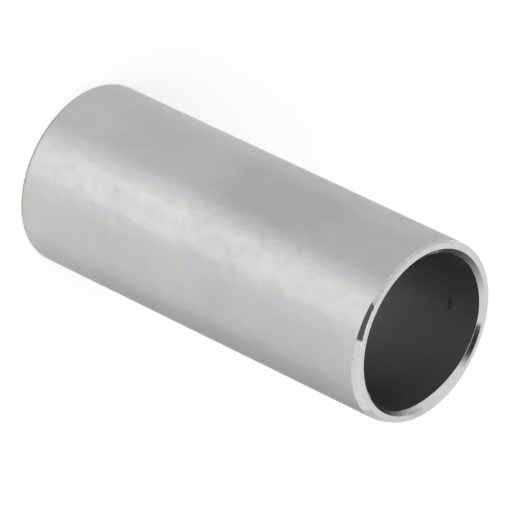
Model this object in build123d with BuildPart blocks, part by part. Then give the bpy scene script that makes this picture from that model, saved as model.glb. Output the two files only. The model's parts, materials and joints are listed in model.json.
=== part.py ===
from build123d import *
import os

# Spacer sleeve: one turned length of drawn steel tube that keeps two bearings, gears or
# pulleys a set distance apart on a shaft. Both ends are faced square, because the length
# between them is the distance that the sleeve keeps.
#
# Frame: the sleeve stands on its lower end. The origin is the centre of that end face, and
# +Z runs up the axis. Millimetres throughout.

# --- Tube stock ------------------------------------------------------------------------
outer_diameter = 42.0
wall_thickness = 3.0

# --- Cut length, from end face to end face ------------------------------------------------
sleeve_length = 100.0

# --- Outside corner of each end: a shallow lead, for sliding into a housing ------------------
# The upper end goes in first, so its lead is long. The lower one only takes the edge off.
upper_lead_length = 1.3  # measured along the outside
lower_lead_length = 0.5
lead_chamfer_angle = 20.0  # between the lead and the outside

# --- Inside corner of each end: a flat countersink, which guides the shaft in ---------------
bore_chamfer_width = 1.2  # measured across the end face
bore_chamfer_angle = 30.0  # between the countersink and the end face

# --- Worked out from the sizes above ------------------------------------------------------
outer_radius = outer_diameter / 2
bore_radius = outer_radius - wall_thickness


with BuildPart() as spacer_sleeve:
    # The tube's section, cut off square.
    with BuildSketch(Plane.XY):
        Circle(outer_radius)
        Circle(bore_radius, mode=Mode.SUBTRACT)
    extrude(amount=sleeve_length)

    # Each chamfer is measured from one of the two surfaces that it joins: the lead from the
    # outside, and the countersink from its own end face.
    ends = ((0.0, lower_lead_length), (sleeve_length, upper_lead_length))
    for height, lead_length in ends:
        end_centre = (0, 0, height)
        outside = spacer_sleeve.faces().filter_by(GeomType.CYLINDER).sort_by(SortBy.AREA)[-1]
        rim = outside.edges().filter_by(GeomType.CIRCLE).sort_by_distance(end_centre)[0]
        chamfer(
            rim,
            length=lead_length,
            angle=lead_chamfer_angle,
            reference=outside,
        )

        end_face = spacer_sleeve.faces().filter_by(Axis.Z).sort_by_distance(end_centre)[0]
        bore_mouth = end_face.edges().sort_by(SortBy.RADIUS)[0]
        chamfer(
            bore_mouth,
            length=bore_chamfer_width,
            angle=bore_chamfer_angle,
            reference=end_face,
        )

spacer_sleeve.part.label = "spacer_sleeve"

os.makedirs("parts", exist_ok=True)
export_step(spacer_sleeve.part, "parts/spacer_sleeve.step")
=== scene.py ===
import json
import math

import bpy
import numpy as np
from mathutils import Matrix, Vector


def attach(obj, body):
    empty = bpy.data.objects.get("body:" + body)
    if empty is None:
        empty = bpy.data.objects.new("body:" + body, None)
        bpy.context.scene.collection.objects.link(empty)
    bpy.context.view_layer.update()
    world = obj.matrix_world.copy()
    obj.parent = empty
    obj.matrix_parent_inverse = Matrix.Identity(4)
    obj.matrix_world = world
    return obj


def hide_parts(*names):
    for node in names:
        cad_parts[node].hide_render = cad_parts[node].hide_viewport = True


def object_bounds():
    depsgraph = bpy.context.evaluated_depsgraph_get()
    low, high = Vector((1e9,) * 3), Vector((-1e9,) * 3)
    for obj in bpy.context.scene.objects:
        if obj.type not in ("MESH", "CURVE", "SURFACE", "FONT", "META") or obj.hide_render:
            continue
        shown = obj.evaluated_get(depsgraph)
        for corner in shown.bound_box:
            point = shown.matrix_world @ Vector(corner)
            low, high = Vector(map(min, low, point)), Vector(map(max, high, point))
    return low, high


bl_info = {
    "name": "Spacer Sleeve",
    "version": (1, 0, 0),
    "blender": (4, 5, 0),
    "location": "3D View > Sidebar > Sleeve",
    "description": "Makes a turned spacer sleeve with its steel finishes, and the studio that it stands in",
    "category": "Object",
}

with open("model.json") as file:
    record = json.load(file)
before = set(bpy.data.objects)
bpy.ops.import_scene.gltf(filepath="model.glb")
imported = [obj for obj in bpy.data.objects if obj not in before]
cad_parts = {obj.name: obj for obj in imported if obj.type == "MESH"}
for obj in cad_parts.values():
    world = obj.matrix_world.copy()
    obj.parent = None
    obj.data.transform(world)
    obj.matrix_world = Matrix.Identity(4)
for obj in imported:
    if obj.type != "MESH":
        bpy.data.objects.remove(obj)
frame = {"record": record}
cad_low, cad_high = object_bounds()

SLEEVE_NODE = "spacer_sleeve"
MILLIMETRE = 0.001

mounts = {mount["name"]: mount for mount in frame["record"]["mounts"]}
cad_length = cad_high.z
cad_outside_radius = min(cad_high.x, cad_high.y, -cad_low.x, -cad_low.y)
cad_bore_radius = mounts["bore"]["dims"]["r_mm"] * MILLIMETRE
cad_outside_middle = mounts["outside"]["pos_m"][2]
cad_outside_length = mounts["outside"]["dims"]["length_mm"] * MILLIMETRE
cad_lower_lead = cad_outside_middle - cad_outside_length / 2
cad_upper_lead = cad_length - cad_outside_middle - cad_outside_length / 2
cad_countersink_depth = (cad_length - mounts["bore"]["dims"]["length_mm"] * MILLIMETRE) / 2


# --- Settings that a user would change -------------------------------------------------------


class SleeveSizes(bpy.types.PropertyGroup):
    outside_radius: bpy.props.FloatProperty(
        name="Outside radius", description="Radius of the drawn outside at its proudest",
        default=cad_outside_radius, unit="LENGTH")
    bore_radius: bpy.props.FloatProperty(
        name="Bore radius", description="Radius of the bore", default=cad_bore_radius, unit="LENGTH")
    length: bpy.props.FloatProperty(
        name="Length", description="From end face to end face", default=cad_length, unit="LENGTH")
    upper_lead: bpy.props.FloatProperty(
        name="Upper lead", description="Length of the upper end's outside chamfer, along the axis",
        default=cad_upper_lead, unit="LENGTH")
    lower_lead: bpy.props.FloatProperty(
        name="Lower lead", description="Length of the lower end's outside chamfer, along the axis",
        default=cad_lower_lead, unit="LENGTH")
    lead_angle: bpy.props.FloatProperty(
        name="Lead angle", description="Between the outside chamfer and the outside",
        default=math.radians(20), subtype="ANGLE")
    countersink_depth: bpy.props.FloatProperty(
        name="Countersink depth", description="Depth of the bore's chamfer along the axis",
        default=cad_countersink_depth, unit="LENGTH")
    countersink_angle: bpy.props.FloatProperty(
        name="Countersink angle", description="Between the bore's chamfer and the end face",
        default=math.radians(30), subtype="ANGLE")
    edge_radius: bpy.props.FloatProperty(
        name="Edge radius", description="Rounding left on each turned edge",
        default=0.05 * MILLIMETRE, unit="LENGTH")
    unevenness: bpy.props.FloatProperty(
        name="Unevenness", description="Share of the real sleeve's unevenness at its edges and bore",
        default=1.0, min=0.0, max=1.0, subtype="FACTOR")
    waviness: bpy.props.FloatProperty(
        name="Waviness", description="Depth of the slow waves that drawing leaves in the outside",
        default=0.012 * MILLIMETRE, unit="LENGTH")


class SleeveFinish(bpy.types.PropertyGroup):
    skin_light: bpy.props.FloatVectorProperty(
        name="Skin, light", description="Lighter clouds of the drawn outside",
        subtype="COLOR", size=4, default=(0.58, 0.574, 0.562, 1.0))
    skin_dark: bpy.props.FloatVectorProperty(
        name="Skin, dark", description="Darker clouds of the drawn outside",
        subtype="COLOR", size=4, default=(0.506, 0.503, 0.491, 1.0))
    turned_light: bpy.props.FloatVectorProperty(
        name="Turned, light", description="Crests of the turning lines on the ends",
        subtype="COLOR", size=4, default=(0.66, 0.655, 0.645, 1.0))
    turned_dark: bpy.props.FloatVectorProperty(
        name="Turned, dark", description="Troughs of the turning lines on the ends",
        subtype="COLOR", size=4, default=(0.58, 0.575, 0.565, 1.0))
    bore_light: bpy.props.FloatVectorProperty(
        name="Bore, light", description="Lighter streaks in the drawn bore",
        subtype="COLOR", size=4, default=(0.62, 0.61, 0.6, 1.0))
    bore_dark: bpy.props.FloatVectorProperty(
        name="Bore, dark", description="Darker streaks in the drawn bore",
        subtype="COLOR", size=4, default=(0.52, 0.512, 0.503, 1.0))


class StudioSettings(bpy.types.PropertyGroup):
    floor_colour: bpy.props.FloatVectorProperty(
        name="Floor", description="Colour of the floor", subtype="COLOR", size=4,
        default=(0.92, 0.92, 0.92, 1.0))
    floor_glow: bpy.props.FloatProperty(
        name="Floor glow", description="Share of plain white in what the floor shows; the rest is shaded",
        default=0.55, min=0.0, max=1.0)
    sky_strength: bpy.props.FloatProperty(
        name="Sky", description="Light from the white surroundings", default=0.8, min=0.0)
    camera_lens: bpy.props.FloatProperty(
        name="Lens", description="Focal length", default=472.83, unit="CAMERA")


# --- The sleeve's surface --------------------------------------------------------------------

STEPS_ROUND = 360
ARC_STEPS = 4
# Steps along the straight runs between the rounded edges, in the order of section_corners.
RUN_STEPS = (72, 8, 8, 8, 48, 8, 8, 8)
OUTSIDE_RUN, BORE_RUN = 0, 4
SKIN, TURNED, BORE = 0, 1, 2
WAVE_COUNT = 14
WAVE_SEED = 7


def drawn_waves(angle):
    """Slow waves of the drawn outside, 0 to 1, on a grid of angle by height along the outside run.

    Each wave is the cosine of (turns times angle, plus phase) times the cosine of (cycles times
    height, plus phase); the sum is shifted and scaled to fill 0 to 1.
    """
    random = np.random.default_rng(WAVE_SEED)
    share = run_shares(RUN_STEPS[OUTSIDE_RUN])
    total = np.zeros((len(angle), len(share)))
    for _ in range(WAVE_COUNT):
        turns = random.integers(1, 12)
        cycles = random.uniform(0.5, 5.0)
        phase_round, phase_along = random.uniform(0, 2 * np.pi, 2)
        weight = 1 / (turns + cycles)
        total += weight * np.outer(
            np.cos(turns * angle + phase_round), np.cos(2 * np.pi * cycles * share + phase_along))
    return (total - total.min()) / (total.max() - total.min())


def run_shares(steps):
    """Shares 0 to 1 along a straight run, crowded at its ends: place cubed * (10 - 15 place + 6 place^2)."""
    place = np.arange(steps + 1) / steps
    return place ** 3 * (10 - 15 * place + 6 * place ** 2)


# How far each edge of an end strays outward, in millimetres, once, twice and three times round:
# (amount, azimuth at which it strays furthest).
LAND_OUTSIDE_STRAY = ((0.23, 85), (0.06, 3))
LAND_INSIDE_STRAY = ((0.26, 109), (0.15, 5), (0.08, 40))
BORE_STRAY = ((0.19, 45), (0.18, -30), (0.25, 44))
# The bore's edge also stands this much wide all round, in millimetres.
BORE_WIDE = 0.2
# The lower end's edges stray by this share, and furthest this many degrees further round.
LOWER_END_STRAY = 0.25
LOWER_END_TURN = 140


def strayed(angle, strays, amount, turn=0):
    """The sum of amount * cos(times round * (azimuth - furthest)), in metres, at each angle."""
    azimuth = 1.5 * np.pi - angle - math.radians(turn)
    waves = [
        size * np.cos(times * (azimuth - math.radians(furthest)))
        for times, (size, furthest) in enumerate(strays, start=1)]
    return amount * MILLIMETRE * sum(waves)


def section_corners(angle, sizes):
    """The wall section's eight corners at each angle, as (radius, height), shape (angles, 8, 2).

    They run up the outside, across the top end, down the bore and back across the bottom end.
    The ends were turned in another clamping than the outside, and the bore is as drawn, so a
    chamfer's length varies round the end: a lead's is (outside radius - face's outer radius) /
    tan(lead angle), and a countersink's depth is (face's inner radius - bore radius) *
    tan(countersink angle).
    """
    slope = math.tan(sizes.lead_angle)
    sink = math.tan(sizes.countersink_angle)
    level = np.ones_like(angle)
    outside = sizes.outside_radius * level
    ends = []
    for lead_length, share, turn in (
            (sizes.upper_lead, 1.0, 0), (sizes.lower_lead, LOWER_END_STRAY, LOWER_END_TURN)):
        amount = sizes.unevenness * share
        land_outside = outside - lead_length * slope + strayed(angle, LAND_OUTSIDE_STRAY, amount, turn)
        land_inside = (
            sizes.bore_radius + sizes.countersink_depth / sink
            + strayed(angle, LAND_INSIDE_STRAY, amount, turn))
        bore = (
            sizes.bore_radius + amount * BORE_WIDE * MILLIMETRE
            + strayed(angle, BORE_STRAY, amount, turn))
        lead, depth = (outside - land_outside) / slope, (land_inside - bore) * sink
        ends.append((land_outside, land_inside, bore, lead, depth))
    top_outside, top_inside, top_bore, top_lead, top_depth = ends[0]
    low_outside, low_inside, low_bore, low_lead, low_depth = ends[1]
    top = sizes.length * level
    corners = [
        (outside, low_lead), (outside, top - top_lead),
        (top_outside, top), (top_inside, top),
        (top_bore, top - top_depth), (low_bore, low_depth),
        (low_inside, 0 * level), (low_outside, 0 * level),
    ]
    return np.stack([np.stack(corner, axis=-1) for corner in corners], axis=1)


def rounded_section(corners, radius):
    """The closed section with each corner rounded, and which part of it each point starts.

    An arc's points are slerps between the radii at its two tangent points, which lie radius times
    tan(half the turn) from the corner. Straight runs join one arc's end to the next one's start.
    """
    ahead = np.roll(corners, -1, axis=1) - corners
    ahead /= np.linalg.norm(ahead, axis=-1, keepdims=True)
    behind = np.roll(ahead, 1, axis=1)
    turn = np.arccos(np.clip((ahead * behind).sum(-1, keepdims=True), -1, 1))
    start = corners - behind * radius * np.tan(turn / 2)
    end = corners + ahead * radius * np.tan(turn / 2)
    inward = ahead - behind
    inward /= np.linalg.norm(inward, axis=-1, keepdims=True)
    centre = corners + inward * radius / np.cos(turn / 2)
    points, finish = [], []
    for corner, steps in enumerate(RUN_STEPS):
        share = (np.arange(ARC_STEPS) / ARC_STEPS)[None, :, None]
        swing = turn[:, corner, None]
        first = (start - centre)[:, corner, None]
        last = (end - centre)[:, corner, None]
        arc = (np.sin((1 - share) * swing) * first + np.sin(share * swing) * last) / np.sin(swing)
        points.append(centre[:, corner, None] + arc)
        finish += [TURNED] * ARC_STEPS
        follower = (corner + 1) % len(RUN_STEPS)
        share = run_shares(steps)[None, :-1, None]
        points.append((1 - share) * end[:, corner, None] + share * start[:, follower, None])
        finish += [{OUTSIDE_RUN: SKIN, BORE_RUN: BORE}.get(corner, TURNED)] * steps
    return np.concatenate(points, axis=1), np.array(finish)


def sleeve_grid(sizes):
    """Points of the whole surface, shape (angles, section points, 3), and each section step's finish.

    The rounded section is carried round the axis: (radius cos angle, radius sin angle, height).
    """
    angle = np.arange(STEPS_ROUND) * 2 * np.pi / STEPS_ROUND
    section, finish = rounded_section(section_corners(angle, sizes), sizes.edge_radius)
    outside = slice(ARC_STEPS, ARC_STEPS + RUN_STEPS[OUTSIDE_RUN] + 1)
    fade = np.sin(np.pi * run_shares(RUN_STEPS[OUTSIDE_RUN])) ** 0.25
    section[:, outside, 0] += sizes.waviness * fade * (drawn_waves(angle) - 1)
    radius, height = section[..., 0], section[..., 1]
    grid = np.stack(
        [radius * np.cos(angle)[:, None], radius * np.sin(angle)[:, None], height], axis=-1)
    return grid, section, finish


def closed_grid_mesh(name, grid, section, finish):
    """A mesh of quads over a grid that closes on itself both ways, so it has no seam and no pole.

    The UV map runs round the sleeve in u and along the section in v, both in metres of surface.
    """
    round_count, section_count = grid.shape[:2]
    around, along = np.meshgrid(np.arange(round_count), np.arange(section_count), indexing="ij")
    next_around, next_along = (around + 1) % round_count, (along + 1) % section_count
    quads = np.stack([
        around * section_count + along,
        next_around * section_count + along,
        next_around * section_count + next_along,
        around * section_count + next_along,
    ], axis=-1).reshape(-1, 4)
    mesh = bpy.data.meshes.new(name)
    mesh.vertices.add(round_count * section_count)
    mesh.vertices.foreach_set("co", grid.astype(np.float32).ravel())
    mesh.loops.add(quads.size)
    mesh.loops.foreach_set("vertex_index", quads.astype(np.int32).ravel())
    mesh.polygons.add(len(quads))
    mesh.polygons.foreach_set("loop_start", np.arange(0, quads.size, 4, dtype=np.int32))
    mesh.polygons.foreach_set("material_index", np.tile(finish, round_count).astype(np.int32))
    mesh.polygons.foreach_set("use_smooth", np.ones(len(quads), bool))
    step = np.linalg.norm(np.roll(section[0], -1, axis=0) - section[0], axis=-1)
    travelled = np.concatenate([[0], np.cumsum(step)])
    girth = 2 * np.pi * section[..., 0].max()
    u = np.stack([around, around + 1, around + 1, around], axis=-1) / round_count * girth
    v = np.stack([travelled[along], travelled[along], travelled[along + 1], travelled[along + 1]], axis=-1)
    uv = mesh.uv_layers.new(name="surface")
    uv.data.foreach_set("uv", np.stack([u, v], axis=-1).astype(np.float32).ravel())
    mesh.update(calc_edges=True)
    mesh.validate()
    return mesh


# --- Node helpers ----------------------------------------------------------------------------


def add_node(tree, kind, inputs=None, **settings):
    """Adds a node, sets its settings, and feeds each named or numbered input a value or a socket."""
    node = tree.nodes.new(kind)
    for setting, value in settings.items():
        setattr(node, setting, value)
    for key, value in (inputs or {}).items():
        if isinstance(value, bpy.types.NodeSocket):
            tree.links.new(value, node.inputs[key])
        else:
            node.inputs[key].default_value = value
    return node


def maths(tree, operation, *values):
    node = add_node(tree, "ShaderNodeMath", dict(enumerate(values)), operation=operation)
    return node.outputs[0]


def between(tree, value, low, high, to_low=0.0, to_high=1.0):
    """value's place between low and high, eased at both ends and moved to to_low..to_high."""
    node = add_node(
        tree, "ShaderNodeMapRange",
        {"Value": value, "From Min": low, "From Max": high, "To Min": to_low, "To Max": to_high},
        interpolation_type="SMOOTHSTEP")
    return node.outputs["Result"]


def blended(tree, share, first, second):
    node = add_node(
        tree, "ShaderNodeMix", {0: share, 6: first, 7: second}, data_type="RGBA")
    return node.outputs[2]


def vector_maths(tree, operation, first, second):
    node = add_node(tree, "ShaderNodeVectorMath", {0: first, 1: second}, operation=operation)
    return node.outputs[0]


def vector_length(tree, vector):
    return add_node(tree, "ShaderNodeVectorMath", {0: vector}, operation="LENGTH").outputs["Value"]


def noise(tree, vector, scale, detail=2.0, roughness=0.5):
    node = add_node(
        tree, "ShaderNodeTexNoise",
        {"Vector": vector, "Scale": scale, "Detail": detail, "Roughness": roughness})
    return node.outputs["Fac"]


def new_group(name, inputs, outputs):
    """An empty node group with (kind, name, default) inputs and (kind, name) outputs."""
    tree = bpy.data.node_groups.new(name, "ShaderNodeTree")
    for kind, label, default in inputs:
        socket = tree.interface.new_socket(label, in_out="INPUT", socket_type=kind)
        if default is not None:
            socket.default_value = default
    for kind, label in outputs:
        tree.interface.new_socket(label, in_out="OUTPUT", socket_type=kind)
    return tree, tree.nodes.new("NodeGroupInput"), tree.nodes.new("NodeGroupOutput")


def place_group(tree, group, inputs):
    return add_node(tree, "ShaderNodeGroup", inputs, node_tree=group)


# --- Effects that the finishes share ---------------------------------------------------------

# Scratch cells are wider than the lines: the squeezed coordinates are multiplied by this.
SCRATCH_SPREAD = (0.31, 0.31, 0.47)
# A scratch begins and is full at these distances from its cell's point, in cells.
SCRATCH_BORDER = (0.3, 0.05)
# Stains, and the partly painted shade on the upper outside, begin and are full at these shares of their
# reach.
STAIN_AND_SHADE_BORDER = (1.2, 0.75)
# Noise of this scale, in cycles a metre, makes the pits' borders ragged.
PIT_RAGGED_SCALE = 4000.0


def clouds_group():
    """Mottling at three sizes: broad clouds, patches inside them and a fine grain, each 0 to 1."""
    tree, given, out = new_group(
        "sleeve_clouds",
        [("NodeSocketVector", "Vector", None), ("NodeSocketFloat", "Cloud Size", 0.02),
         ("NodeSocketFloat", "Patch Size", 0.004), ("NodeSocketFloat", "Grain Size", 0.0008)],
        [("NodeSocketFloat", "Clouds"), ("NodeSocketFloat", "Patches"), ("NodeSocketFloat", "Grain")])
    for label, source, detail, spread in (
            ("Clouds", "Cloud Size", 2.0, 0.2), ("Patches", "Patch Size", 3.0, 0.3),
            ("Grain", "Grain Size", 2.0, 0.2)):
        scale = maths(tree, "DIVIDE", 1.0, given.outputs[source])
        fac = noise(tree, given.outputs["Vector"], scale, detail, roughness=0.55)
        tree.links.new(between(tree, fac, 0.5 - spread, 0.5 + spread), out.inputs[label])
    return tree


def pits_group():
    """Small pits: ragged spots of uneven size at the points of some cells of a random grid."""
    tree, given, out = new_group(
        "sleeve_pits",
        [("NodeSocketVector", "Vector", None), ("NodeSocketFloat", "Spacing", 0.004),
         ("NodeSocketFloat", "Pit Size", 0.0003), ("NodeSocketFloat", "Share", 0.2)],
        [("NodeSocketFloat", "Pit")])
    cells = add_node(
        tree, "ShaderNodeTexVoronoi",
        {"Vector": given.outputs["Vector"], "Scale": maths(tree, "DIVIDE", 1.0, given.outputs["Spacing"])})
    away = maths(tree, "MULTIPLY", cells.outputs["Distance"], given.outputs["Spacing"])
    ragged = noise(tree, given.outputs["Vector"], PIT_RAGGED_SCALE, detail=1.0)
    away = maths(tree, "MULTIPLY", away, maths(tree, "ADD", ragged, 0.5))
    split = add_node(tree, "ShaderNodeSeparateColor", {0: cells.outputs["Color"]})
    reach = maths(tree, "MULTIPLY", given.outputs["Pit Size"], maths(tree, "ADD", split.outputs[1], 0.3))
    spot = between(tree, away, reach, maths(tree, "MULTIPLY", reach, 0.4))
    kept = maths(tree, "LESS_THAN", split.outputs[0], given.outputs["Share"])
    tree.links.new(maths(tree, "MULTIPLY", spot, kept), out.inputs["Pit"])
    return tree


def stain_and_shade_group():
    """A soft darker patch, for the stains and for the partly painted shade on the upper outside: an
    ellipsoid about a centre, whose border noise makes ragged.
    """
    tree, given, out = new_group(
        "sleeve_stain_and_shade",
        [("NodeSocketVector", "Vector", None), ("NodeSocketVector", "Centre", (0.0, 0.0, 0.0)),
         ("NodeSocketVector", "Reach", (0.01, 0.01, 0.01)), ("NodeSocketFloat", "Raggedness", 0.6),
         ("NodeSocketFloat", "Ragged Size", 0.008)],
        [("NodeSocketFloat", "Stain And Shade")])
    away = vector_maths(tree, "SUBTRACT", given.outputs["Vector"], given.outputs["Centre"])
    away = vector_maths(tree, "DIVIDE", away, given.outputs["Reach"])
    distance = vector_length(tree, away)
    scale = maths(tree, "DIVIDE", 1.0, given.outputs["Ragged Size"])
    ragged = noise(tree, given.outputs["Vector"], scale, detail=3.0, roughness=0.6)
    ragged = maths(tree, "MULTIPLY", maths(tree, "SUBTRACT", ragged, 0.5), given.outputs["Raggedness"])
    stain_and_shade = between(tree, maths(tree, "ADD", distance, ragged), *STAIN_AND_SHADE_BORDER)
    tree.links.new(stain_and_shade, out.inputs["Stain And Shade"])
    return tree


def tool_lines_group():
    """Lines left by drawing or turning, and scratches along them in some cells of a random grid.

    Both come from coordinates that Squeeze multiplies: most across the lines, least along them.
    """
    tree, given, out = new_group(
        "sleeve_tool_lines",
        [("NodeSocketVector", "Vector", None), ("NodeSocketVector", "Squeeze", (150.0, 150.0, 4000.0)),
         ("NodeSocketFloat", "Scratch Share", 0.2)],
        [("NodeSocketFloat", "Lines"), ("NodeSocketFloat", "Scratches")])
    along = vector_maths(tree, "MULTIPLY", given.outputs["Vector"], given.outputs["Squeeze"])
    lines = noise(tree, along, 1.0, detail=3.0, roughness=0.65)
    tree.links.new(between(tree, lines, low=0.3, high=0.7), out.inputs["Lines"])
    scattered = vector_maths(tree, "MULTIPLY", along, SCRATCH_SPREAD)
    cells = add_node(tree, "ShaderNodeTexVoronoi", {"Vector": scattered, "Scale": 1.0})
    split = add_node(tree, "ShaderNodeSeparateColor", {0: cells.outputs["Color"]})
    kept = maths(tree, "LESS_THAN", split.outputs[0], given.outputs["Scratch Share"])
    core = between(tree, cells.outputs["Distance"], *SCRATCH_BORDER)
    tree.links.new(maths(tree, "MULTIPLY", core, kept), out.inputs["Scratches"])
    return tree


# --- Finishes --------------------------------------------------------------------------------

# A dark grey: grime for the marks and stains, and partly painted shade where it darkens the upper outside.
GRIME_AND_SHADE = (0.1, 0.098, 0.095, 1.0)
# The outside is darker over its upper half, which is partly its own darker tone and partly painted shade,
# and in one place on its side.
DARK_UPPER = (0.0, 0.0, 0.1)
DARK_SIDE = (-0.0161, -0.0135, 0.063)
# A small dark smudge in the bore, on the far side from the camera.
SMUDGE = (-0.008, 0.0164, 0.0914)
# The upper end is darker on one side, with a smear in its countersink.
DARK_END_SIDE = (0.0175, 0.0085, 0.1)
SMEAR = (0.0156, 0.0101, 0.0997)
# Nicks lie along the outer corner: they begin and are full this far in from the outside.
NICKS_BEGIN, NICKS_FULL = 0.55 * MILLIMETRE, 0.3 * MILLIMETRE


def new_finish(name):
    """A material with nothing but its output and a metal shader, and the object's coordinates."""
    material = bpy.data.materials.new(name)
    material.use_nodes = True
    tree = material.node_tree
    tree.nodes.clear()
    output = add_node(tree, "ShaderNodeOutputMaterial")
    shader = add_node(tree, "ShaderNodeBsdfPrincipled", {"Metallic": 1.0})
    tree.links.new(shader.outputs[0], output.inputs["Surface"])
    place = add_node(tree, "ShaderNodeTexCoord").outputs["Object"]
    return material, tree, shader, place


def surface_relief(tree, shader, layers):
    """Chains a Bump for each (height socket, depth in metres) and feeds the last one's normal."""
    normal = None
    for height, depth in layers:
        inputs = {"Height": height, "Distance": depth, "Strength": 1.0}
        if normal is not None:
            inputs["Normal"] = normal
        normal = add_node(tree, "ShaderNodeBump", inputs).outputs["Normal"]
    tree.links.new(normal, shader.inputs["Normal"])


def grimed_and_shaded(tree, colour, mask, share):
    """The colour with that share of a dark grey mixed in where the mask is 1: grime for the marks and
    stains, and partly painted shade on the upper outside.
    """
    return blended(tree, maths(tree, "MULTIPLY", mask, share), colour, GRIME_AND_SHADE)


def skin_finish(finish, groups):
    """Drawn outside: dull grey, mottled, darker on its upper half (partly painted shade) and in a stain on
    its side, with spots, marks and small pits.
    """
    material, tree, shader, place = new_finish("drawn_skin")
    clouds = place_group(tree, groups["clouds"], {"Vector": place, "Patch Size": 0.0034})
    spots = place_group(
        tree, groups["pits"], {"Vector": place, "Spacing": 0.005, "Pit Size": 0.0011, "Share": 0.3})
    pits = place_group(tree, groups["pits"], {"Vector": place, "Share": 0.1})
    marks = place_group(
        tree, groups["tool_lines"],
        {"Vector": place, "Squeeze": (700.0, 700.0, 2600.0), "Scratch Share": 0.03})
    # Partly painted shade: the outside's upper half is darker, in part its own tone.
    upper = place_group(
        tree, groups["stain_and_shade"],
        {"Vector": place, "Centre": DARK_UPPER, "Reach": (0.2, 0.2, 0.052), "Raggedness": 0.3})
    side = place_group(
        tree, groups["stain_and_shade"],
        {"Vector": place, "Centre": DARK_SIDE, "Reach": (0.013, 0.013, 0.017)})
    light = maths(tree, "MULTIPLY", clouds.outputs["Clouds"], 0.4)
    light = maths(tree, "MULTIPLY_ADD", clouds.outputs["Patches"], 0.4, light)
    light = maths(tree, "MULTIPLY_ADD", clouds.outputs["Grain"], 0.2, light)
    colour = blended(tree, light, finish.skin_dark, finish.skin_light)
    for mask, share in (
            (upper.outputs["Stain And Shade"], 0.08), (side.outputs["Stain And Shade"], 0.06), (spots.outputs["Pit"], 0.07),
            (marks.outputs["Scratches"], 0.12), (pits.outputs["Pit"], 0.22)):
        colour = grimed_and_shaded(tree, colour, mask, share)
    tree.links.new(colour, shader.inputs["Base Color"])
    rough = maths(tree, "MULTIPLY_ADD", clouds.outputs["Patches"], 0.09, 0.31)
    tree.links.new(rough, shader.inputs["Roughness"])
    shader.inputs["Anisotropic"].default_value = 0.98
    shader.inputs["Anisotropic Rotation"].default_value = 0.25
    tangent = add_node(tree, "ShaderNodeTangent", direction_type="UV_MAP", uv_map="surface")
    tree.links.new(tangent.outputs[0], shader.inputs["Tangent"])
    surface_relief(tree, shader, [
        (clouds.outputs["Patches"], 0.05 * MILLIMETRE),
        (clouds.outputs["Grain"], 0.006 * MILLIMETRE),
        (marks.outputs["Lines"], 0.002 * MILLIMETRE),
        (maths(tree, "SUBTRACT", 1.0, pits.outputs["Pit"]), 0.05 * MILLIMETRE),
    ])
    return material


def turned_finish(finish, groups):
    """Turned ends: bright, with fine rings left by the tool, a darker side, a smear and small nicks.

    The rings are lines squeezed across (distance from the axis + height), so they follow the
    faces and both chamfers.
    """
    material, tree, shader, place = new_finish("turned_ends")
    split = add_node(tree, "ShaderNodeSeparateXYZ", {0: place})
    x, y, z = split.outputs
    squares = maths(tree, "ADD", maths(tree, "POWER", x, 2.0), maths(tree, "POWER", y, 2.0))
    radius = maths(tree, "POWER", squares, 0.5)
    depth = maths(tree, "ADD", radius, z)
    rings = add_node(tree, "ShaderNodeCombineXYZ", {0: x, 1: y, 2: depth}).outputs[0]
    lines = place_group(tree, groups["tool_lines"], {"Vector": rings, "Squeeze": (60.0, 60.0, 9000.0)})
    clouds = place_group(tree, groups["clouds"], {"Vector": place, "Patch Size": 0.002})
    nicks = place_group(
        tree, groups["pits"], {"Vector": place, "Spacing": 0.0011, "Pit Size": 0.0003, "Share": 0.45})
    corner = between(tree, radius, cad_outside_radius - NICKS_BEGIN, cad_outside_radius - NICKS_FULL)
    nicked = maths(tree, "MULTIPLY", nicks.outputs["Pit"], corner)
    light = maths(tree, "MULTIPLY", lines.outputs["Lines"], 0.6)
    light = maths(tree, "MULTIPLY_ADD", clouds.outputs["Patches"], 0.4, light)
    colour = blended(tree, light, finish.turned_dark, finish.turned_light)
    dark_end_side = place_group(
        tree, groups["stain_and_shade"],
        {"Vector": place, "Centre": DARK_END_SIDE, "Reach": (0.009, 0.009, 0.003), "Ragged Size": 0.002})
    smear = place_group(
        tree, groups["stain_and_shade"],
        {"Vector": place, "Centre": SMEAR, "Reach": (0.0016, 0.003, 0.0007), "Raggedness": 0.8,
         "Ragged Size": 0.001})
    crests = between(tree, lines.outputs["Lines"], low=0.45, high=0.65)
    smeared = maths(tree, "MULTIPLY", smear.outputs["Stain And Shade"], crests)
    for mask, share in ((dark_end_side.outputs["Stain And Shade"], 0.08), (smeared, 0.3), (nicked, 0.4)):
        colour = grimed_and_shaded(tree, colour, mask, share)
    tree.links.new(colour, shader.inputs["Base Color"])
    rough = maths(tree, "MULTIPLY_ADD", clouds.outputs["Patches"], 0.03, 0.06)
    tree.links.new(rough, shader.inputs["Roughness"])
    surface_relief(tree, shader, [
        (lines.outputs["Lines"], 0.001 * MILLIMETRE),
        (maths(tree, "SUBTRACT", 1.0, nicked), 0.015 * MILLIMETRE),
    ])
    return material


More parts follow.
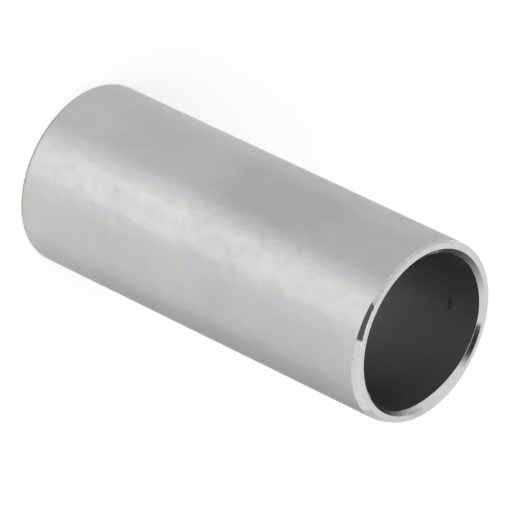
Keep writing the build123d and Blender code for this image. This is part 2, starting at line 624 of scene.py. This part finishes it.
def bore_finish(finish, groups):
    """Drawn bore: dark and dull, with streaks along the axis and one small smudge."""
    material, tree, shader, place = new_finish("drawn_bore")
    lines = place_group(tree, groups["tool_lines"], {"Vector": place, "Squeeze": (1800.0, 1800.0, 30.0)})
    clouds = place_group(tree, groups["clouds"], {"Vector": place, "Cloud Size": 0.03})
    light = maths(tree, "MULTIPLY", lines.outputs["Lines"], 0.35)
    light = maths(tree, "MULTIPLY_ADD", clouds.outputs["Clouds"], 0.65, light)
    colour = blended(tree, light, finish.bore_dark, finish.bore_light)
    smudge = place_group(
        tree, groups["stain_and_shade"],
        {"Vector": place, "Centre": SMUDGE, "Reach": (0.0015, 0.0012, 0.0007), "Raggedness": 0.5,
         "Ragged Size": 0.0008})
    colour = grimed_and_shaded(tree, colour, smudge.outputs["Stain And Shade"], 0.5)
    tree.links.new(colour, shader.inputs["Base Color"])
    rough = maths(tree, "MULTIPLY_ADD", clouds.outputs["Patches"], 0.04, 0.28)
    tree.links.new(rough, shader.inputs["Roughness"])
    shader.inputs["Anisotropic"].default_value = 0.7
    tangent = add_node(tree, "ShaderNodeTangent", direction_type="UV_MAP", uv_map="surface")
    tree.links.new(tangent.outputs[0], shader.inputs["Tangent"])
    surface_relief(tree, shader, [(lines.outputs["Lines"], 0.0012 * MILLIMETRE)])
    return material


# --- The studio ------------------------------------------------------------------------------

# The camera stands at azimuth 0, on the -Y side.
CAMERA_FROM_AXIS = math.radians(53.91)
CAMERA_ROLL = math.radians(25.59)
CAMERA_DISTANCE = 1.42892
# The top end's centre stands this far right of and below the picture's middle, at that distance.
TOP_RIGHT = 0.035671
TOP_DOWN = 0.016502
LAMP_DISTANCE = 2.0
# Upright flags stand this far from the axis, and level ones lie this high above the floor. The foot's shadow
# card, a painted contact shadow, reaches a little past the sleeve, so it cuts through the sleeve's foot just
# there.
FLAG_DISTANCE, FRONT_FLAG_DISTANCE = 0.6, 0.5
TOP_FLAG_HEIGHT, CARD_HEIGHT, BORE_CARD_HEIGHT = 0.6, 0.002, 0.001
FOOT_SHADOW_CARD_HEIGHT = 0.02 * MILLIMETRE
FLAG_STEPS = 24
FLOOR_RADIUS = 30.0
FLOOR_CORNERS = 64
# Nearer than the first distance the floor keeps its own glow, and past the second it is white.
FLOOR_FADE = (0.4, 2.0)


def direction(azimuth, elevation):
    """A unit vector at that azimuth and elevation in degrees; azimuth 0 is -Y and 90 is -X."""
    around, up = math.radians(azimuth), math.radians(elevation)
    return Vector((-math.sin(around) * math.cos(up), -math.cos(around) * math.cos(up), math.sin(up)))


def hide_from_camera(thing):
    thing.visible_camera = False


def soft_box(name, azimuth, elevation, width, height, radiance):
    """A white rectangular lamp that faces the sleeve. Its watts are four times area times radiance."""
    data = bpy.data.lights.new(name, "AREA")
    data.shape = "RECTANGLE"
    data.size, data.size_y = width, height
    data.energy = 4 * width * height * radiance
    lamp = bpy.data.objects.new(name, data)
    towards = direction(azimuth, elevation)
    middle = Vector((0, 0, cad_length / 2))
    lamp.location = middle + towards * LAMP_DISTANCE
    lamp.rotation_mode = "QUATERNION"
    lamp.rotation_quaternion = (-towards).to_track_quat("-Z", "Y")
    hide_from_camera(lamp)
    bpy.context.scene.collection.objects.link(lamp)


def stage_material(name):
    material = bpy.data.materials.new(name)
    material.use_nodes = True
    tree = material.node_tree
    tree.nodes.clear()
    return material, tree, add_node(tree, "ShaderNodeOutputMaterial")


def flag(name, vertices, quads, axis, start, end, shade_start, shade_end):
    """A grey card that only reflections show, shaded along an axis from start to end."""
    mesh = bpy.data.meshes.new(name)
    mesh.from_pydata([tuple(vertex) for vertex in vertices], [], quads)
    material, tree, output = stage_material(name)
    place = add_node(tree, "ShaderNodeTexCoord").outputs["Object"]
    along = add_node(tree, "ShaderNodeSeparateXYZ", {0: place}).outputs[axis]
    shade = between(tree, along, start, end, shade_start, shade_end)
    material.cycles.emission_sampling = "NONE"
    glow = add_node(tree, "ShaderNodeEmission", {"Color": (1, 1, 1, 1), "Strength": shade})
    tree.links.new(glow.outputs[0], output.inputs["Surface"])
    mesh.materials.append(material)
    card = bpy.data.objects.new(name, mesh)
    hide_from_camera(card)
    card.visible_diffuse = False
    card.visible_shadow = False
    card.visible_transmission = False
    bpy.context.scene.collection.objects.link(card)


def upright_flag(name, azimuths, distance, heights, fade_from, shades):
    """A flag bent round the sleeve at that distance, which fades from one height up to its top."""
    first, last = azimuths
    turns = [first + (last - first) * step / FLAG_STEPS for step in range(FLAG_STEPS + 1)]
    feet = [direction(turn, 0) * distance for turn in turns]
    vertices = [foot + Vector((0, 0, height)) for foot in feet for height in heights]
    quads = [(2 * step, 2 * step + 2, 2 * step + 3, 2 * step + 1) for step in range(FLAG_STEPS)]
    flag(name, vertices, quads, "Z", fade_from, heights[1], *shades)


def level_flag(name, outline, height, axis, fade, shades):
    """A level flag with that outline, shaded along X or Y between the two places of fade."""
    vertices = [(x, y, height) for x, y in outline]
    flag(name, vertices, [tuple(range(len(vertices)))], axis, *fade, *shades)


def oblong(low_x, high_x, low_y, high_y):
    return [(low_x, low_y), (high_x, low_y), (high_x, high_y), (low_x, high_y)]


def disc(radius, corners=48):
    """Corners of a disc: radius times the cosine and the sine of equal turns."""
    turns = [2 * math.pi * corner / corners for corner in range(corners)]
    return [(radius * math.cos(turn), radius * math.sin(turn)) for turn in turns]


def seen_as_background(tree):
    """1 for camera, glossy and transmission rays, and 0 for all others, such as diffuse ones."""
    path = add_node(tree, "ShaderNodeLightPath")
    either = maths(tree, "MAXIMUM", path.outputs["Is Camera Ray"], path.outputs["Is Glossy Ray"])
    return maths(tree, "MAXIMUM", either, path.outputs["Is Transmission Ray"])


def make_floor(studio):
    """A round pale floor: its own shading mixed with white near the object, and white far out."""
    rim = [(x, y, 0.0) for x, y in disc(FLOOR_RADIUS, FLOOR_CORNERS)]
    mesh = bpy.data.meshes.new("floor")
    mesh.from_pydata(rim, [], [tuple(range(FLOOR_CORNERS))])
    material, tree, output = stage_material("floor")
    shader = add_node(tree, "ShaderNodeBsdfDiffuse", {"Color": studio.floor_colour})
    white = add_node(tree, "ShaderNodeEmission", {"Color": (1, 1, 1, 1), "Strength": 1.0})
    place = add_node(tree, "ShaderNodeTexCoord").outputs["Object"]
    glow = between(tree, vector_length(tree, place), *FLOOR_FADE, studio.floor_glow, 1.0)
    share = maths(tree, "MULTIPLY", seen_as_background(tree), glow)
    both = add_node(tree, "ShaderNodeMixShader", {0: share, 1: shader.outputs[0], 2: white.outputs[0]})
    tree.links.new(both.outputs[0], output.inputs["Surface"])
    mesh.materials.append(material)
    floor = bpy.data.objects.new("floor", mesh)
    bpy.context.scene.collection.objects.link(floor)


def make_sky(studio):
    """White surroundings: full white where they are seen, and a plain level as light."""
    world = bpy.data.worlds.new("studio")
    bpy.context.scene.world = world
    world.use_nodes = True
    tree = world.node_tree
    tree.nodes.clear()
    strength = maths(
        tree, "MULTIPLY_ADD", seen_as_background(tree), 1.0 - studio.sky_strength, studio.sky_strength)
    sky = add_node(tree, "ShaderNodeBackground", {"Color": (1, 1, 1, 1), "Strength": strength})
    output = add_node(tree, "ShaderNodeOutputWorld")
    tree.links.new(sky.outputs[0], output.inputs["Surface"])


def make_camera(studio):
    """The camera looks at the top end from above, rolled so that the axis runs down to the right.

    The back direction leans from the axis by CAMERA_FROM_AXIS. The picture's right is the axis as
    seen, turned by CAMERA_ROLL.
    """
    back = Vector((0, -math.sin(CAMERA_FROM_AXIS), math.cos(CAMERA_FROM_AXIS)))
    along = (Vector((0, 0, 1)) - back * back.z).normalized()
    across = back.cross(along)
    right = along * math.cos(CAMERA_ROLL) + across * math.sin(CAMERA_ROLL)
    up = -along * math.sin(CAMERA_ROLL) + across * math.cos(CAMERA_ROLL)
    data = bpy.data.cameras.new("camera")
    data.sensor_width = 36.0
    data.lens = studio.camera_lens
    data.clip_start, data.clip_end = 0.05, 100.0
    camera = bpy.data.objects.new("camera", data)
    top = Vector((0, 0, cad_length))
    location = top + back * CAMERA_DISTANCE - right * TOP_RIGHT + up * TOP_DOWN
    turn = Matrix((right, up, back)).transposed()
    camera.matrix_world = Matrix.LocRotScale(location, turn.to_quaternion(), None)
    bpy.context.scene.collection.objects.link(camera)
    bpy.context.scene.camera = camera


# --- Operators -------------------------------------------------------------------------------


class SLEEVE_OT_make_sleeve(bpy.types.Operator):
    """Make the sleeve in place of the plain solid"""

    bl_idname = "sleeve.make_sleeve"
    bl_label = "Make Sleeve"

    def execute(self, context):
        sizes, finish = context.scene.sleeve_sizes, context.scene.sleeve_finish
        grid, section, finishes = sleeve_grid(sizes)
        mesh = closed_grid_mesh("sleeve", grid, section, finishes)
        groups = {
            "clouds": clouds_group(), "pits": pits_group(), "stain_and_shade": stain_and_shade_group(),
            "tool_lines": tool_lines_group()}
        mesh.materials.append(skin_finish(finish, groups))
        mesh.materials.append(turned_finish(finish, groups))
        mesh.materials.append(bore_finish(finish, groups))
        sleeve = bpy.data.objects.new("sleeve", mesh)
        context.scene.collection.objects.link(sleeve)
        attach(sleeve, "root")
        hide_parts(SLEEVE_NODE)
        return {"FINISHED"}


class SLEEVE_OT_set_stage(bpy.types.Operator):
    """Set up the floor, the surroundings, the lamps and the camera"""

    bl_idname = "sleeve.set_stage"
    bl_label = "Set Stage"

    def execute(self, context):
        studio = context.scene.sleeve_studio
        make_floor(studio)
        make_sky(studio)
        soft_box("key", azimuth=-8, elevation=24, width=1.3, height=0.7, radiance=4.8)
        soft_box("key_edge", azimuth=19, elevation=24, width=0.7, height=0.7, radiance=2.3)
        soft_box("key_wing", azimuth=-35, elevation=24, width=0.62, height=0.7, radiance=2.2)
        soft_box("fill", azimuth=-73, elevation=24, width=2.2, height=0.7, radiance=1.25)
        soft_box("rim", azimuth=161, elevation=38, width=0.5, height=0.8, radiance=3.0)
        upright_flag(
            "front_flag", azimuths=(-38, 5), distance=FRONT_FLAG_DISTANCE, heights=(0.095, 0.17),
            fade_from=0.1, shades=(0.12, 0.14))
        upright_flag(
            "fill_flag", azimuths=(6, 112), distance=FLAG_DISTANCE, heights=(0.0, 0.5),
            fade_from=0.1, shades=(0.8, 0.95))
        level_flag(
            "top_flag", oblong(-0.1, 0.165, -0.085, 0.03), height=TOP_FLAG_HEIGHT,
            axis="X", fade=(0.015, -0.1), shades=(0.05, 1.0))
        level_flag(
            "near_card", oblong(0.0215, 0.25, -0.1, 0.25), height=CARD_HEIGHT,
            axis="Y", fade=(-0.03, 0.04), shades=(0.95, 0.74))
        level_flag(
            "side_card", oblong(-0.25, -0.03, -0.2, 0.03), height=CARD_HEIGHT,
            axis="Y", fade=(-0.01, 0.03), shades=(0.91, 0.95))
        level_flag(
            "far_card", oblong(-0.8, -0.25, -0.1, 0.8), height=CARD_HEIGHT,
            axis="Y", fade=(-0.1, 0.3), shades=(0.9, 0.75))
        level_flag(
            "bore_card", disc(0.0178), height=BORE_CARD_HEIGHT,
            axis="X", fade=(-0.018, 0.018), shades=(0.75, 0.75))
        # Painted shadow: a darker ring round the foot, seen only in reflections, stands in for the contact
        # shadow there.
        level_flag(
            "foot_shadow_card", disc(0.0213), height=FOOT_SHADOW_CARD_HEIGHT,
            axis="X", fade=(-0.02, 0.0), shades=(0.65, 0.55))
        upright_flag(
            "back_flag", azimuths=(170, 195), distance=FLAG_DISTANCE, heights=(0.04, 0.5),
            fade_from=0.27, shades=(0.06, 1.0))
        upright_flag(
            "side_flag", azimuths=(124, 170), distance=FLAG_DISTANCE, heights=(0.04, 0.75),
            fade_from=0.25, shades=(0.05, 1.0))
        upright_flag(
            "far_side_flag", azimuths=(195, 242), distance=FLAG_DISTANCE, heights=(0.04, 1.05),
            fade_from=0.2, shades=(0.09, 1.0))
        make_camera(studio)
        context.scene.view_settings.view_transform = "Standard"
        return {"FINISHED"}


class SLEEVE_PT_panel(bpy.types.Panel):
    """The sleeve's operators and settings"""

    bl_idname = "SLEEVE_PT_panel"
    bl_label = "Spacer Sleeve"
    bl_space_type = "VIEW_3D"
    bl_region_type = "UI"
    bl_category = "Sleeve"

    def draw(self, context):
        for operator in (SLEEVE_OT_make_sleeve, SLEEVE_OT_set_stage):
            self.layout.operator(operator.bl_idname)
        for group in (context.scene.sleeve_sizes, context.scene.sleeve_finish, context.scene.sleeve_studio):
            box = self.layout.box()
            for name in group.__annotations__:
                box.prop(group, name)


CLASSES = (
    SleeveSizes, SleeveFinish, StudioSettings,
    SLEEVE_OT_make_sleeve, SLEEVE_OT_set_stage, SLEEVE_PT_panel,
)


def register():
    for cls in CLASSES:
        bpy.utils.register_class(cls)
    bpy.types.Scene.sleeve_sizes = bpy.props.PointerProperty(type=SleeveSizes)
    bpy.types.Scene.sleeve_finish = bpy.props.PointerProperty(type=SleeveFinish)
    bpy.types.Scene.sleeve_studio = bpy.props.PointerProperty(type=StudioSettings)


def unregister():
    del bpy.types.Scene.sleeve_studio
    del bpy.types.Scene.sleeve_finish
    del bpy.types.Scene.sleeve_sizes
    for cls in reversed(CLASSES):
        bpy.utils.unregister_class(cls)


def main():
    register()
    bpy.ops.sleeve.make_sleeve()
    bpy.ops.sleeve.set_stage()


if __name__ == "__main__":
    main()
